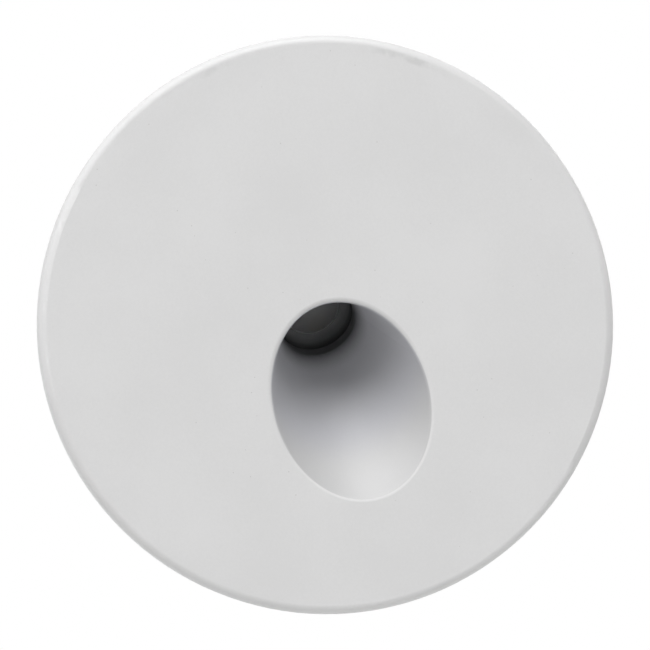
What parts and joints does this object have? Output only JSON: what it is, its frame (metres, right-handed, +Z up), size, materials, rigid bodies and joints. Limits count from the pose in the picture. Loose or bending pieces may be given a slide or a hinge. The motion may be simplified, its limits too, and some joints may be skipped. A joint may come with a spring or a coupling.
{
  "type": "led step light",
  "caption": "Round recessed LED step light: a flat disc with an off-centre slanted light well, a ribbed rear housing, a cable gland and sprung clips that fold in.",
  "frame": {"origin": "centre of the face gasket's back, on the wall's surface", "axes": "+Y into the wall, square to the face; +Z up; the face looks along -Y and +X is to the viewer's right"},
  "size_m": [0.08, 0.0608, 0.08],
  "materials": {
    "face_coat": "satin white powder coat on cast aluminium",
    "gasket_foam": "closed-cell foam, matte",
    "silicone_seal": "soft silicone, semi-matte",
    "window_glass": "clear, polished, flat",
    "lens_plastic": "clear moulded lens, polished",
    "holder_plastic": "fine-textured black moulding",
    "led_package": "yellow phosphor under a silicone dome",
    "board_mask": "white solder mask on a metal-core board",
    "thermal_pad": "soft filled silicone sheet, matte",
    "heat_sink": "machined, lightly anodised",
    "housing_casting": "shot-blasted die casting, satin",
    "screw_steel": "stainless steel, turned",
    "earth_brass": "bright brass",
    "tray_plastic": "thin moulded insulating cup",
    "board_green": "solder mask on glass-epoxy board",
    "driver_parts": "mixed moulded component bodies",
    "terminal_plastic": "moulded terminal block",
    "lead_insulation": "smooth silicone insulation",
    "gland_plastic": "black polyamide moulding",
    "gland_rubber": "black rubber insert",
    "clip_steel": "zinc-plated folded sheet steel",
    "spring_steel": "bright spring steel",
    "sleeve_rubber": "soft rubber sleeve, matte"
  },
  "bodies": {
    "root": {"bracket_screws": "screw_steel", "clip_bracket_left": "clip_steel", "clip_bracket_right": "clip_steel", "clip_pin_left": "screw_steel", "clip_pin_right": "screw_steel", "clip_spring_left": "spring_steel", "clip_spring_right": "spring_steel", "driver_board": "board_green", "driver_parts": "driver_parts", "driver_tray": "tray_plastic", "earth_screw": "earth_brass", "face_gasket": "gasket_foam", "faceplate": "face_coat", "gland_body": "gland_plastic", "gland_locknut": "gland_plastic", "gland_nut": "gland_plastic", "gland_seal": "gland_rubber", "heat_sink": "heat_sink", "heat_sink_screws": "screw_steel", "housing_gasket": "silicone_seal", "housing_screws": "screw_steel", "led_board": "board_mask", "led_emitter": "led_package", "led_leads": "lead_insulation", "lens_holder": "holder_plastic", "rear_housing": "housing_casting", "terminal_block": "terminal_plastic", "thermal_pad": "thermal_pad", "tir_lens": "lens_plastic", "well_seal": "silicone_seal", "window_glass": "window_glass"},
    "wing_left": {"clip_wing_left": "spring_steel", "clip_sleeve_left": "sleeve_rubber"},
    "wing_right": {"clip_wing_right": "spring_steel", "clip_sleeve_right": "sleeve_rubber"}
  },
  "joints": [
    {"name": "clip_fold_left", "type": "hinge", "parent": "root", "child": "wing_left", "pos_m": [-0.0282, 0.031, 0], "axis": [0, 0, 1], "range_deg": [0, 16], "stiffness_Nm_per_rad": 0.05, "springref_deg": -28.65, "deforming": ["clip_spring_left"]},
    {"name": "clip_fold_right", "type": "hinge", "parent": "root", "child": "wing_right", "pos_m": [0.0282, 0.031, 0], "axis": [0, 0, -1], "range_deg": [0, 16], "stiffness_Nm_per_rad": 0.05, "springref_deg": -28.65, "deforming": ["clip_spring_right"]}
  ]
}
